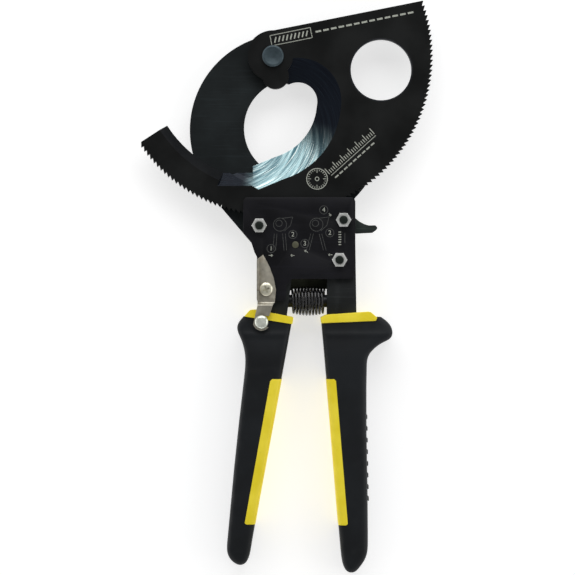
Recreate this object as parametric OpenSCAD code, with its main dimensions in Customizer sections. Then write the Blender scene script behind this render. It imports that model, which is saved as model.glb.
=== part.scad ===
/* [Blades] */
// Radius of the tooth tips about the main pivot
tooth_tip_r = 96; // [80:0.2:116]
// Depth of each ratchet tooth
tooth_depth = 1.8; // [1.2:0.1:2.2]
// Ratchet teeth in a full turn
teeth_per_turn = 200; // [160:4:220]
// Thickness of each blade
blade_t = 6; // [5:0.1:7.2]
// Gap between sliding faces
slide_gap = 0.2; // [0.15:0.05:0.4]
// Width of the moving blade's tail, from its teeth to its inside
tail_w = 20.2; // [18:0.1:23]
// Width of the ground bevel beside the moving cutting edge
bevel_w = 14.4; // [12:0.1:17]
// Width of the bevel along the inside of the tail
tail_bevel_w = 5.2; // [4:0.1:6.3]
// Width of the short bevel between the main bevel and the tail
notch_bevel_w = 8; // [6:0.1:9]
// Radius of the moving blade's hub
hub_r = 15; // [14:0.5:16]
// Radius of the big round window in the moving blade
window_r = 18.2; // [15:0.1:22]
// Radius of the fixed blade's hooked jaw, inside
jaw_r = 29.4; // [26:0.1:31]
// Radius of the fixed blade, outside
jaw_outer_r = 58; // [54:0.5:62]

/* [Pivot] */
// Radius of the main pivot bolt
pivot_r = 5; // [4:0.1:6]
// Radius of the main pivot bolt's head
pivot_head_r = 6.5; // [6.3:0.1:8]
// Height of the main pivot bolt's head
pivot_head_h = 2.2; // [1.5:0.1:3]

/* [Frame] */
// Thickness of each frame plate
plate_t = 3; // [2.5:0.1:3.4]
// How far the plates reach up over the teeth
plate_over = 11.4; // [8:0.1:13]
// Height of the frame plates below the tooth circle
plate_drop = 37.5; // [36:0.5:40]
// Radius of the frame bolts
bolt_r = 2.5; // [2:0.1:3]
// Width of the frame nuts across their flats
nut_af = 8; // [7.2:0.1:9.6]
// Height of the frame nuts
nut_h = 4; // [3:0.1:5]

/* [Handles] */
// Length of each grip
grip_len = 150; // [125:1:180]
// Thickness of the grips
grip_t = 24.4; // [20.2:0.1:29.4]
// How much thinner a grip is at its collar, on each face
neck_step = 2.2; // [1.2:0.1:2.6]
// Length of each soft insert
insert_len = 87; // [70:1:105]
// Radius of the handle's pivot pin
pin_r = 4; // [3.2:0.1:4.8]

/* [Spring] */
// Largest outer diameter of the barrel spring
spring_d = 18; // [15:0.5:19]
// Diameter of the spring's wire
spring_wire = 1.5; // [1.2:0.1:1.8]
// Turns in the barrel spring
spring_turns = 10; // [8:1:12]

/* [Latch] */
// Thickness of the latch's sheet
latch_t = 1.4; // [1:0.1:1.6]
// Radius of the stud that the latch hooks
stud_r = 2; // [1.7:0.1:2.4]

/* [Hidden] */
$fn = 64;
// Running clearance round a pin
run = 0.05;
window_chamfer = 0.8;
washer_t = 1;
// Wall of the tubes that the frame bolts pass through
bush_wall = 1.1;
// How far the collars stand above the necks, and their height
collar_rise = 0.5;
collar_h = 4.6;
// The rear plate reaches lower between the handles
rear_plate_drop = 6;
// How far the ribs stand out of the fixed grip
rib_h = 0.7;
// Lift of a cutting profile past the faces it cuts
lift = 0.5;

// Levels through the thickness, from the face that the tool lies on
z_mid = grip_t / 2;
z_fix = z_mid - blade_t - slide_gap / 2;
z_mov = z_mid + slide_gap / 2;
z_front = z_mov + blade_t + slide_gap;
z_rear = z_fix - plate_t;
z_face = z_front + plate_t;
neck_t = grip_t - 2 * neck_step;
z_neck = z_mid + neck_t / 2;
z_head = z_mov + blade_t + slide_gap;

// The frame hangs from the lowest point of the tooth circle
fy = -tooth_tip_r;
pitch = 360 / teeth_per_turn;
plate_top = fy + plate_over;
plate_bottom = fy - plate_drop;
root_bolt = [-8.2, fy - 5.5];
lever_bolt = [42.2, fy - 2.2];
tang_bolt = [39.8, fy - 26.1];
tang_dowel_at = [40.5, fy - 18];
handle_pin_at = [13.4, fy - 17];
drive_pin_at = handle_pin_at + polar(pin_r + 5, 107.4);
latch_screw_at = [-4.1, fy - 43.6];
stud_at = [-6.8, fy - 63.2];
neck_y = fy - 59;
// The moving collar leans with its handle: the ends of its lower edge
collar_left = [-17.4, neck_y - 0.9];
collar_right = [11.7, neck_y - 5.5];
// Outer end of the fixed collar, where the grip's shoulder starts
shoulder_x = 62.6;
spring_y = fy - 50.7;
spring_x0 = 10.6;
spring_x1 = 31.7;

// Places on the blades follow the size of the tooth circle
k = tooth_tip_r / 96;

// Moving blade: the mouth's edge is a small arc, a large arc and a straight run
edge_a = [15, -27] * k;
edge_a_r = 11.4 * k;
edge_b = [-8, -27] * k;
edge_b_r = edge_a[0] + edge_a_r - edge_b[0];
edge_b_end = -67.5;
tail_in_r = tooth_tip_r - tail_w;
tail_end = 212.8;
notch_a = 249.5;
nose_at = [1.5, -11.7] * k;
nose_r = 8;
top_slope = 11.6;
top_corner = 20.3;
window_at = [64.8, -8.2] * k;

// Fixed blade
jaw_at = [12, -43] * k;
jaw_outer_at = [8, -44] * k;
jaw_edge_w = 9;

// Pawls: each tip stands off the teeth, at a set distance left of its own pin
pawl_clear = 0.5;
tip_r = tooth_tip_r + pawl_clear;
pawl_tip = polar(tip_r, -acos((handle_pin_at[0] - 17.8) / tip_r));
lever_tip = polar(tip_r, -acos((lever_bolt[0] - 14.1) / tip_r));
pawl_t = 3;
pawl_eye_r = 3.6;
drive_pin_r = 1.8;
link_t = z_front - z_mov - pawl_t - 3 * slide_gap;
z_link = z_mov + slide_gap + link_t;
lever_spring_wire = 1;
z_lever = z_front - 2 * 0.4 - lever_spring_wire;

function polar(r, a) = [r * cos(a), r * sin(a)];
function arc(c, r, a0, a1, n) = [for (i = [0 : n]) c + polar(r, a0 + (a1 - a0) * i / n)];

module at(p, z = 0) translate([p[0], p[1], z]) children();
module slab(z0, z1) translate([0, 0, z0]) linear_extrude(z1 - z0) children();
module peg(p, r, z0, z1) at(p, z0) cylinder(r = r, h = z1 - z0);
module hex(p, af, z0, z1) at(p, z0) cylinder(r = af / sqrt(3), h = z1 - z0, $fn = 6);
module soften(r) offset(r = r, $fn = 32) offset(delta = -r) children();

// ---------- blades ----------

// Saw teeth: the steep flank of each faces counter-clockwise
function teeth(a0, n) = [
  for (i = [0 : n - 1]) each [
    polar(tooth_tip_r, a0 - i * pitch),
    polar(tooth_tip_r - tooth_depth, a0 - i * pitch - pitch * 0.93)
  ]
];

// A cone that grinds the bevel over part of a turn
module bevel_cone(c, r, w, a0, a1) {
  grow = w / blade_t * lift;
  at(c, z_mov - lift) rotate([0, 0, a0]) rotate_extrude(angle = a1 - a0)
    polygon([[0, 0], [r - grow, 0], [r + w + grow, blade_t + 2 * lift], [0, blade_t + 2 * lift]]);
}

// A straight run of bevel: starts at p, runs along direction a, leans out to its left
module bevel_run(p, a, len, w, keep) {
  grow = w / blade_t * lift;
  at(p, z_mov - lift) rotate([0, 0, a]) rotate([90, 0, 90]) linear_extrude(len)
    polygon([[-keep, 0], [-grow, 0], [w + grow, blade_t + 2 * lift], [-keep, blade_t + 2 * lift]]);
}

module moving_blade() color("#1b1c1c") {
  span = tail_end - 360 - top_corner;
  count = floor(-span / pitch);
  // Neighbouring cuts cross each other by a hair, so that no two only touch
  cross = 0.2;
  run_dir = edge_b_end - 90;
  run_start = edge_b + polar(edge_b_r - cross, edge_b_end);
  throat = [-6, -13.8] * k;
  notch = polar(tail_in_r - 1.4, notch_a);
  join_a = notch_a - 2.8;
  difference() {
    union() {
      difference() {
        slab(z_mov, z_mov + blade_t) difference() {
          polygon(concat([[0, 0]], [polar(hub_r + cross / 2, 90 + top_slope)], teeth(top_corner, count)));
          // Open side of the mouth, short of the edges that the bevels make
          polygon(concat(
            arc([0, 0], tail_in_r - 1.5, tail_end - 3, notch_a - 3.5, 14),
            [notch + [0, 2.5], [4, -56] * k, edge_b + [6, -3], edge_b + [0, 8], throat],
            [[-hub_r, -hub_r / 2], [-hub_r, 0]]
          ));
          polygon([
            throat, [4, -15.5] * k, [10.2, -16.9] * k, edge_a + [0, 4],
            edge_a + [2, -3], edge_b + [-4, -5], edge_b + [-4, 8]
          ]);
        }
        bevel_cone(edge_a, edge_a_r + cross, bevel_w, -18, 118);
        bevel_cone(edge_b, edge_b_r, bevel_w, edge_b_end - 11, 2.5);
        // The straight part of the edge stops at a slanting step, and stays out of the tail
        difference() {
          bevel_run(run_start, run_dir, 60, bevel_w, 12);
          slab(0, 40) polygon([
            notch, notch + polar(60, -30.6), notch + [-60, -60], notch + [-60, 30],
            polar(tail_in_r - 6, join_a)
          ]);
        }
        // The flat part of the edge stops on the ray where the tail's curved bevel begins
        difference() {
          bevel_run(notch + [14, 0], 180, 32, notch_bevel_w, 9);
          slab(0, 40) polygon([[0, 0], polar(120, join_a), polar(120, join_a - 40)]);
        }
        bevel_cone([0, 0], tail_in_r, tail_bevel_w, tail_end - 30, join_a + cross);
      }
      peg([0, 0], hub_r - 3, z_mov, z_mov + blade_t);
      peg(nose_at, nose_r, z_mov, z_mov + blade_t);
      slab(z_mov, z_mov + blade_t) intersection() {
        circle(r = hub_r);
        polygon([[0, 0], [1.6, -24], [-30, -24], [-30, 30], polar(30, 86 + top_slope)]);
      }
    }
    peg([0, 0], pivot_r + run, z_mov - 1, z_mov + blade_t + 1);
    peg(window_at, window_r, z_mov - 1, z_mov + blade_t + 1);
    at(window_at, z_mov + blade_t - window_chamfer)
      cylinder(r1 = window_r, r2 = window_r + window_chamfer * 1.5, h = window_chamfer * 1.5);
  }
}

module fixed_blade() color("#212628") {
  difference() {
    union() {
      slab(z_fix, z_fix + blade_t) difference() {
        union() {
          intersection() {
            translate(jaw_outer_at) circle(r = jaw_outer_r);
            polygon([[0, 0], polar(150, 96), [-150, 40], [-150, -190], [90, -190], [60, -60] * k]);
          }
          polygon([
            [-31.2, fy + 5.5], [-14, fy - 14.6], [-4, fy - 14.6], [2, fy - 10], [6, fy - 6.5],
            [32, fy - 6.5], [36, fy - 9.5], [46, fy - 9.5], [49, fy - 6], [49, plate_top],
            [40, plate_top + 8], [-20, plate_top + 18]
          ]);
          circle(r = hub_r + 1);
        }
        translate(jaw_at) circle(r = jaw_r);
        polygon([jaw_at, jaw_at + polar(90, 32), [150, -60], jaw_at + polar(60, -25)]);
      }
    }
    // The jaw's edge is ground on the rear face
    at(jaw_at, z_fix - 0.5) rotate([0, 0, 95]) rotate_extrude(angle = 230)
      polygon([[0, 0], [jaw_r + jaw_edge_w, 0], [jaw_r - 0.2, blade_t + 0.1], [0, blade_t + 0.1]]);
    peg([0, 0], pivot_r, z_fix - 1, z_fix + blade_t + 1);
    for (p = [root_bolt, lever_bolt]) peg(p, bolt_r, z_fix - 1, z_fix + blade_t + 1);
  }
}

// ---------- main pivot ----------

module pivot_bolt() color("#5f6c78") {
  chamfer = 0.6;
  z_rim = z_head + pivot_head_h - chamfer;
  peg([0, 0], pivot_r, 0, z_head);
  peg([0, 0], pivot_head_r, z_head, z_rim);
  at([0, 0], z_rim) cylinder(r1 = pivot_head_r, r2 = pivot_head_r - chamfer, h = chamfer);
}

module pivot_nut() color("#8d9296") difference() {
  hex([0, 0], pivot_r * 3.2, 0, z_fix - washer_t);
  peg([0, 0], pivot_r, -1, z_fix);
}

module pivot_washer() color("#9a9fa3") difference() {
  peg([0, 0], pivot_r * 2, z_fix - washer_t, z_fix);
  peg([0, 0], pivot_r, z_fix - washer_t - 1, z_fix + 1);
}

// ---------- frame ----------

module plate_outline(top, bottom) soften(3) polygon([
  [-16.5, top], [49.3, top], [49.3, bottom], [11.2, bottom], [8, bottom - 4],
  [8, fy - 50.5], [-9.6, fy - 50.5], [-9.6, fy - 24.3], [-11, fy - 21.7], [-12.9, fy - 15.9],
  [-17.8, fy - 10.2], [-17.8, top]
]);

module frame_holes() {
  for (p = [root_bolt, lever_bolt, tang_bolt]) peg(p, bolt_r, 0, z_face + 5);
  peg(handle_pin_at, pin_r / 2, 0, z_face + 5);
  peg(tang_dowel_at, bolt_r, z_fix - plate_t / 2, z_front + plate_t / 2);
}

module front_plate() color("#141418") difference() {
  slab(z_front, z_face) plate_outline(plate_top, plate_bottom);
  frame_holes();
  peg(latch_screw_at, 2, z_front - 1, z_face + 1);
}

module rear_plate() color("#2a2b26") difference() {
  slab(z_rear, z_fix) plate_outline(plate_top, plate_bottom - rear_plate_drop);
  frame_holes();
}

module frame_bolts() color("#b9bcb8") for (p = [root_bolt, lever_bolt, tang_bolt]) {
  peg(p, bolt_r, z_rear, z_face + nut_h + 0.9);
  difference() {
    peg(p, bolt_r * 1.8, 0.4, z_rear);
    hex(p, bolt_r * 1.2, 0, z_rear - 1);
  }
}

module frame_nuts() color("#dce1d7") for (p = [root_bolt, lever_bolt, tang_bolt]) difference() {
  intersection() {
    hex(p, nut_af, z_face, z_face + nut_h);
    at(p, z_face) cylinder(r1 = nut_af * 0.6 + nut_h, r2 = nut_af * 0.54, h = nut_h);
  }
  peg(p, bolt_r, z_face - 1, z_face + nut_h + 1);
}

module frame_bushes() color("#84898c") for (p = [root_bolt, lever_bolt]) difference() {
  peg(p, bolt_r + bush_wall, z_fix + blade_t, z_front);
  peg(p, bolt_r, z_fix, z_front + 1);
}

module tang_dowel() color("#84898c") peg(tang_dowel_at, bolt_r, z_fix - plate_t / 2, z_front + plate_t / 2);

// ---------- handles ----------

// Bars that run into the grips
module fixed_bar() polygon([
  [31.6, fy - 13], [49.3, fy - 13], [50, neck_y - 2], [50.5, neck_y - 30], [47, neck_y - 80],
  [42, neck_y - 80], [36, neck_y - 30], [32.3, neck_y - 2], [32.3, fy - 36]
]);

module moving_bar() polygon([
  [20, fy - 22], [11.2, fy - 37.5], [8.4, neck_y], [5, neck_y - 30], [-7, neck_y - 80],
  [-12, neck_y - 80], [-10.5, neck_y - 30], [-9.3, neck_y], [-9.3, fy - 39], [-6.6, fy - 28],
  [5, fy - 19]
]);

module fixed_tang() color("#24282b") difference() {
  slab(z_fix, z_front) fixed_bar();
  for (p = [tang_bolt, tang_dowel_at]) peg(p, bolt_r, 0, z_face + 5);
}

module moving_tang() color("#24282b") difference() {
  union() {
    slab(z_fix + slide_gap, z_front - slide_gap) {
      moving_bar();
      translate(handle_pin_at) circle(r = pin_r + 1.5);
    }
    // The boss is stepped down under the pawl
    slab(z_fix + slide_gap, z_link) translate(handle_pin_at) circle(r = pin_r + 4.4);
    slab(z_mov + slide_gap, z_link) hull_link(handle_pin_at, pin_r + 3, drive_pin_at, pawl_eye_r + 0.8);
  }
  peg(drive_pin_at, pawl_eye_r + 0.3, z_link, z_face);
  peg(handle_pin_at, pin_r + run, 0, z_face);
  peg(stud_at, stud_r, z_mid, z_face);
  peg(drive_pin_at, drive_pin_r, 0, z_face);
}

// Two rounds joined by their common tangents
module hull_link(a, ra, b, rb) {
  d = b - a;
  dir = atan2(d[1], d[0]);
  lean = acos((ra - rb) / norm(d));
  translate(a) circle(r = ra);
  translate(b) circle(r = rb);
  polygon([
    a + polar(ra, dir + lean), b + polar(rb, dir + lean),
    b + polar(rb, dir - lean), a + polar(ra, dir - lean)
  ]);
}

// Grip outlines from the collar down; s runs from 0 at the collar to 1 at the end
function down(s) = neck_y - 1 - s * grip_len;

module moving_outline() soften(3) polygon([
  [-16.6, neck_y + 0.2], [-21.8, neck_y - 5.4], [-22, neck_y - 8.4], [-16.3, down(0.13)], [-16.6, down(0.2)],
  [-18.8, down(0.33)], [-22, down(0.51)], [-28, down(0.94)], [-25.8, down(0.97)], [-19.8, down(1)],
  [-16, down(0.985)], [-14, down(0.96)], [-10.6, down(0.82)], [5.3, down(0.245)], [12.4, neck_y + 1]
]);

module fixed_outline() soften(3) polygon([
  [60, neck_y + 1], [63.4, neck_y - 0.5], [69.2, neck_y - 4], [72.2, neck_y - 9], [71.6, neck_y - 14],
  [60.4, down(0.12)], [56.3, down(0.165)], [55.8, down(0.37)], [56.9, down(0.77)], [56.9, down(0.95)],
  [53.8, down(0.985)], [48.4, down(1.03)], [44, down(1.02)], [41.4, down(0.99)],
  [39.4, down(0.85)], [32, down(0.245)], [28.5, neck_y - 3]
]);

module moving_insert_outline() soften(1.5) polygon([
  [-1.3, down(0.25)], [12, down(0.25)], [0, down(0.25) - insert_len], [-16.8, down(0.25) - insert_len]
]);

module fixed_insert_outline() soften(1.5) polygon([
  [24, down(0.25)], [37.4, down(0.25)], [44.6, down(0.25) - insert_len], [30, down(0.25) - insert_len]
]);

// A grip's body in three layers, so its long edges step back
module grip_body(step) for (layer = [[0, 1], [0.5, 0.4], [1.4, 0]])
  slab(step * layer[0], grip_t - step * layer[0]) offset(delta = -step * layer[1]) children();

// Near the collar a grip is only as thick as the neck
module neck_trim(x0, x1) for (s = [-1, 1])
  translate([x0, neck_y - 16, z_mid + (s > 0 ? neck_t / 2 : -neck_t / 2 - 10)]) cube([x1 - x0, 30, 10]);

module moving_grip() color("#12161a") difference() {
  grip_body(3) moving_outline();
  neck_trim(-30, 20);
  slab(-5, 40) moving_insert_outline();
  slab(z_fix + slide_gap, z_front - slide_gap) moving_bar();
  slab(-1, 50) polygon([
    collar_left, collar_right, collar_right + [20, 30], collar_left + [-5, 30], collar_left + [-5, 0.8]
  ]);
  peg(stud_at, stud_r, z_mid, 40);
}

module fixed_grip() color("#12161a") difference() {
  grip_body(3) fixed_outline();
  neck_trim(20, 80);
  slab(-5, 40) fixed_insert_outline();
  slab(z_fix, z_front) fixed_bar();
  translate([0, neck_y - collar_h, -1]) cube([shoulder_x, 20, 50]);
}

module moving_insert() color("#f2dc32") difference() {
  intersection() {
    grip_body(3) moving_outline();
    slab(-5, 40) moving_insert_outline();
  }
  slab(z_fix + slide_gap, z_front - slide_gap) moving_bar();
}

module fixed_insert() color("#f2dc32") difference() {
  intersection() {
    grip_body(3) fixed_outline();
    slab(-5, 40) fixed_insert_outline();
  }
  slab(z_fix, z_front) fixed_bar();
}

module moving_collar() color("#f2dc32") difference() {
  slab(z_mid - neck_t / 2 - collar_rise, z_neck + collar_rise) soften(0.6) polygon([
    collar_left, collar_right, collar_right + [0.6, 4.2], collar_left + [6.9, 4.2], collar_left + [3.4, 4]
  ]);
  slab(z_fix + slide_gap, z_front - slide_gap) moving_bar();
  peg(stud_at, stud_r, z_mid, 40);
}

module fixed_collar() color("#f2dc32") difference() {
  slab(z_mid - neck_t / 2 - collar_rise, z_neck + collar_rise) soften(1.5) polygon([
    [28.2, neck_y - 1.6], [31.8, neck_y + 0.3], [58.3, neck_y + 2.2], [shoulder_x, neck_y - 1.6],
    [shoulder_x, neck_y - collar_h], [28.2, neck_y - collar_h]
  ]);
  slab(z_fix, z_front) fixed_bar();
}

// Raised bars along the outside of the fixed grip
module grip_ribs() color("#3a3f40") for (i = [0 : 7]) slab(z_mid - 5, z_mid + 5) intersection() {
  difference() {
    offset(delta = rib_h) fixed_outline();
    fixed_outline();
  }
  translate([50, down(0.37) - 6 - i * 7]) square([20, 2.6]);
}

// ---------- handle pivot and spring ----------

module handle_pivot_pin() color("#6a6b52") {
  peg(handle_pin_at, pin_r, z_fix, z_front);
  peg(handle_pin_at, pin_r / 2, z_rear - 0.3, z_face + 0.3);
}

// Wire centre line of the barrel spring, t from 0 to 1
spring_end_d = spring_d * 0.64;
// How far each seat reaches into the spring
seat_in = 3.5;
function spring_at(t) =
  let (r = (spring_end_d + (spring_d - spring_end_d) * pow(sin(180 * t), 0.7) - spring_wire) / 2)
  let (a = t * 360 * spring_turns)
  [spring_x0 + spring_wire / 2 + (spring_x1 - spring_x0 - spring_wire) * t,
   spring_y + r * cos(a), z_mid + r * sin(a)];
function spring_out(t) = let (a = t * 360 * spring_turns) [0, cos(a), sin(a)];

module handle_spring() color("#1a1a1a") {
  sides = 6;
  rings = spring_turns * 18;
  pts = [for (i = [0 : rings]) for (j = [0 : sides - 1])
    spring_at(i / rings) + spring_wire / 2 * (cos(j * 360 / sides) * spring_out(i / rings)
      + sin(j * 360 / sides) * [1, 0, 0])];
  polyhedron(pts, concat(
    [[for (j = [0 : sides - 1]) j]],
    [for (i = [0 : rings - 1]) for (j = [0 : sides - 1]) let (k = (j + 1) % sides)
      [i * sides + j, (i + 1) * sides + j, (i + 1) * sides + k, i * sides + k]],
    [[for (j = [sides - 1 : -1 : 0]) rings * sides + j]]
  ));
}

module seat(x0, x1) translate([x0, spring_y, z_mid]) rotate([0, 90, 0])
  cylinder(r = spring_end_d / 2 - spring_wire - 0.5, h = x1 - x0);

module spring_seat_moving() color("#84898c") difference() {
  seat(5, spring_x0 + seat_in);
  slab(0, 40) moving_bar();
}

module spring_seat_fixed() color("#84898c") difference() {
  seat(spring_x1 - seat_in, 34);
  slab(0, 40) fixed_bar();
}

// ---------- ratchet ----------

module drive_pawl() color("#50555a") {
  z0 = z_link + slide_gap;
  tip = pawl_tip;
  difference() {
    slab(z0, z0 + pawl_t) {
      translate(drive_pin_at) circle(r = pawl_eye_r);
      polygon([
        drive_pin_at + [-1, 3.4], tip + [2.6, -0.9], tip, tip + [0.7, -2.4], drive_pin_at + [-2.6, -2.4]
      ]);
    }
    peg(drive_pin_at, drive_pin_r + run, 0, 40);
  }
}

module drive_pawl_pin() color("#9a9fa3")
  peg(drive_pin_at, drive_pin_r, z_mov + slide_gap, z_link + slide_gap + pawl_t);

// Leaf spring behind the pawl, held by the moving tang
module drive_pawl_spring() color("#9a9fa3")
  slab(z_link, z_link + pawl_t - 0.6) translate(handle_pin_at) difference() {
    polygon([[-pin_r, 1], [-pin_r - 1, -1], [-8.6, 8], [-8, 7.8]]);
    circle(r = pin_r + 1.5);
  }

module release_lever() color("#343a38") {
  tip = lever_tip;
  p = lever_bolt;
  difference() {
    slab(z_mov + slide_gap, z_lever) {
      translate(p) circle(r = 6.6);
      polygon([p + [-2, 6.2], tip + [3.2, -0.8], tip, tip + [0.4, -3], p + [-3, -5.6]]);
      soften(0.8) polygon([
        p + [0, 6], p + [6.9, 1.4], p + [9.6, -0.8], p + [12.6, -2.4], p + [15.3, -3.2], p + [19.2, -3.1],
        p + [20.6, -4.7], p + [19.5, -6.1], p + [17.4, -7.6], p + [7.8, -8.1], p + [0, -6]
      ]);
    }
    peg(p, bolt_r + bush_wall + run, 0, 40);
  }
}

module release_lever_spring() color("#9a9fa3")
  at(lever_bolt, z_lever + 0.4 + lever_spring_wire / 2) rotate_extrude()
    translate([bolt_r + bush_wall + 1.6, 0]) circle(r = lever_spring_wire / 2);

// ---------- latch ----------

latch_z = z_face + 0.3;
latch_arm_z = max(z_neck + 0.5, z_face + latch_t) + 0.4;

module latch_lever() color("#9a958a") {
  s = latch_screw_at;
  difference() {
    union() {
      // Thumb plate with its edge folded forward
      slab(latch_z, latch_z + latch_t) soften(1) polygon([
        s + [-5.6, 17.9], s + [-1.7, 20.6], s + [2.1, 13.4], s + [4.5, 6.9], s + [5.9, -0.4],
        s + [5.2, -7.9], s + [-4.6, -8.6], s + [-5.6, -6.6]
      ]);
      slab(latch_z, latch_z + 4.6) polygon([
        s + [-5.6, 17.4], s + [-4.2, 18.2], s + [-4.2, -6.2], s + [-5.6, -6.6]
      ]);
      // Joggle up to the hook
      slab(latch_z, latch_arm_z + latch_t) polygon([
        s + [-4.6, -7.6], s + [4.6, -7.6], s + [4.2, -9.2], s + [-4.8, -9.2]
      ]);
      slab(latch_arm_z, latch_arm_z + latch_t) {
        polygon([s + [-4.9, -8.4], s + [4.3, -8.4], stud_at + [4.6, 3.6], stud_at + [-5, 1.4]]);
        translate(stud_at) circle(r = 5.2);
      }
    }
    peg(s, 2.5 + run, 0, 40);
    // Mouth of the hook, open to the right
    slab(latch_arm_z - 1, latch_arm_z + latch_t + 1) {
      translate(stud_at) circle(r = stud_r + 0.35);
      polygon([
        stud_at + [0, -stud_r - 0.35], stud_at + [9, -stud_r - 1.4], stud_at + [9, stud_r + 2.6],
        stud_at + [-0.5, stud_r + 1.6], stud_at + [-1.6, stud_r]
      ]);
    }
  }
}

module latch_screw() color("#a89a88") difference() {
  union() {
    peg(latch_screw_at, 2, z_front, z_face);
    peg(latch_screw_at, 2.5, z_face, latch_z + latch_t + 0.2);
    peg(latch_screw_at, 4, latch_z + latch_t + 0.2, latch_z + latch_t + 1.4);
    at(latch_screw_at, latch_z + latch_t + 1.4) cylinder(r1 = 4, r2 = 2.6, h = 0.8);
  }
  for (a = [0, 90]) at(latch_screw_at, latch_z + latch_t + 1) rotate([0, 0, a + 20])
    translate([-2, -0.45, 0]) cube([4, 0.9, 3]);
}

module latch_stud() color("#b9bcb8") {
  peg(stud_at, stud_r, z_mid, latch_arm_z + latch_t + 0.3);
  peg(stud_at, 4, latch_arm_z + latch_t + 0.3, latch_arm_z + latch_t + 1);
  at(stud_at, latch_arm_z + latch_t + 1) cylinder(r1 = 4, r2 = 2.4, h = 1);
}

front_plate();
rear_plate();
fixed_blade();
moving_blade();
pivot_bolt();
pivot_nut();
pivot_washer();
frame_bolts();
frame_nuts();
frame_bushes();
tang_dowel();
fixed_tang();
fixed_grip();
fixed_collar();
fixed_insert();
grip_ribs();
moving_tang();
moving_grip();
moving_collar();
moving_insert();
handle_pivot_pin();
handle_spring();
spring_seat_fixed();
spring_seat_moving();
drive_pawl();
drive_pawl_pin();
drive_pawl_spring();
release_lever();
release_lever_spring();
latch_lever();
latch_screw();
latch_stud();
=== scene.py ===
"""Looks of a ratcheting cable cutter, built round its packed mechanical model."""

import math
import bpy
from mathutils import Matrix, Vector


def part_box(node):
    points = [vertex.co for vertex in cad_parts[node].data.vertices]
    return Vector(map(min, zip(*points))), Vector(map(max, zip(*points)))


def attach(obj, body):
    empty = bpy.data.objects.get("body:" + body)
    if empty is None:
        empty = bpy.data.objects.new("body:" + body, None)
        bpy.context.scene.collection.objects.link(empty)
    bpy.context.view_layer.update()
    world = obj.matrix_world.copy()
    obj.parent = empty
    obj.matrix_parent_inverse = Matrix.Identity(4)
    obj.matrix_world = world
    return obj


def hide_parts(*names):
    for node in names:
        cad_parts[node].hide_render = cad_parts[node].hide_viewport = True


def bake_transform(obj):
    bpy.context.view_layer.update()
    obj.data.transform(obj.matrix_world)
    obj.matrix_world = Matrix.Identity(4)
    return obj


bl_info = {
    "name": "Ratcheting Cable Cutter",
    "version": (1, 0, 0),
    "blender": (4, 5, 0),
    "location": "View3D > Sidebar > Cutter",
    "description": "Finishes, grips, spring, latch and markings of a ratcheting cable cutter",
    "category": "Object",
}

import bmesh
import bpy
from bpy.props import FloatProperty, FloatVectorProperty, IntProperty, PointerProperty
from mathutils import Matrix, Vector

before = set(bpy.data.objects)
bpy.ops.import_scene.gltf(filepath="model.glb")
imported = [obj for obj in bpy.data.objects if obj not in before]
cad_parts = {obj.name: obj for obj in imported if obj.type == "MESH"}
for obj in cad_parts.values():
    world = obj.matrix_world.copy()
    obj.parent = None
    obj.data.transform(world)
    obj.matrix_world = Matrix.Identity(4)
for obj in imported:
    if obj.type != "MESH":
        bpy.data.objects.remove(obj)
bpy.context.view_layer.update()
MM = 0.001
TAU = 2 * math.pi


def middle(node):
    """Centre of a node's box at rest."""
    low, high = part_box(node)
    return (Vector(low) + Vector(high)) / 2


def top(node):
    """Height of a node's upper face."""
    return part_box(node)[1][2]


STUD = middle("latch_stud")
SCREW = middle("latch_screw")
# Centre of the large arc of the moving blade's bevel
BEVEL_AT = (-8, -27)
# The collars and grips are laid out from a line this far above the latch's stud
NECK_Y = STUD.y + 4.2 * MM
GRIP_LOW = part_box("fixed_grip")[0][2]
GRIP_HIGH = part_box("fixed_grip")[1][2]


# ---------- settings ----------


class CutterSizes(bpy.types.PropertyGroup):
    """Sizes that the looks add to the mechanical model"""

    edge_break: FloatProperty(
        name="Edge break",
        description="Width of the small bevel on cut steel edges",
        default=0.35 * MM,
        unit="LENGTH",
    )
    insert_proud: FloatProperty(
        name="Insert proud",
        description="How far the yellow inserts stand above the grip around them",
        default=0.25 * MM,
        unit="LENGTH",
    )
    mark_lift: FloatProperty(
        name="Marking height",
        description="Thickness of the pale markings on the steel",
        default=0.04 * MM,
        unit="LENGTH",
    )
    wire: FloatProperty(
        name="Spring wire",
        description="Diameter of the barrel spring's wire",
        default=1.5 * MM,
        unit="LENGTH",
    )
    coils: IntProperty(name="Spring coils", description="Turns in the barrel spring", default=10)


class CutterColours(bpy.types.PropertyGroup):
    """Main colours of the finishes"""

    blade: FloatVectorProperty(
        name="Blade",
        description="Black oxide of the moving blade",
        subtype="COLOR",
        default=(0.0068, 0.0073, 0.0073),
    )
    jaw: FloatVectorProperty(
        name="Jaw",
        description="Black oxide of the fixed blade",
        subtype="COLOR",
        default=(0.0090, 0.0120, 0.0130),
    )
    plate: FloatVectorProperty(
        name="Plate",
        description="Coating of the frame plates",
        subtype="COLOR",
        default=(0.0050, 0.0050, 0.0068),
    )
    rubber: FloatVectorProperty(
        name="Grip", description="Moulded grip", subtype="COLOR", default=(0.0046, 0.0060, 0.0076)
    )
    yellow: FloatVectorProperty(
        name="Insert", description="Yellow inserts and collars", subtype="COLOR", default=(0.95, 0.76, 0.018)
    )
    mark: FloatVectorProperty(
        name="Marking", description="Etched markings", subtype="COLOR", default=(0.46, 0.48, 0.42)
    )


# ---------- shader tools ----------


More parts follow.
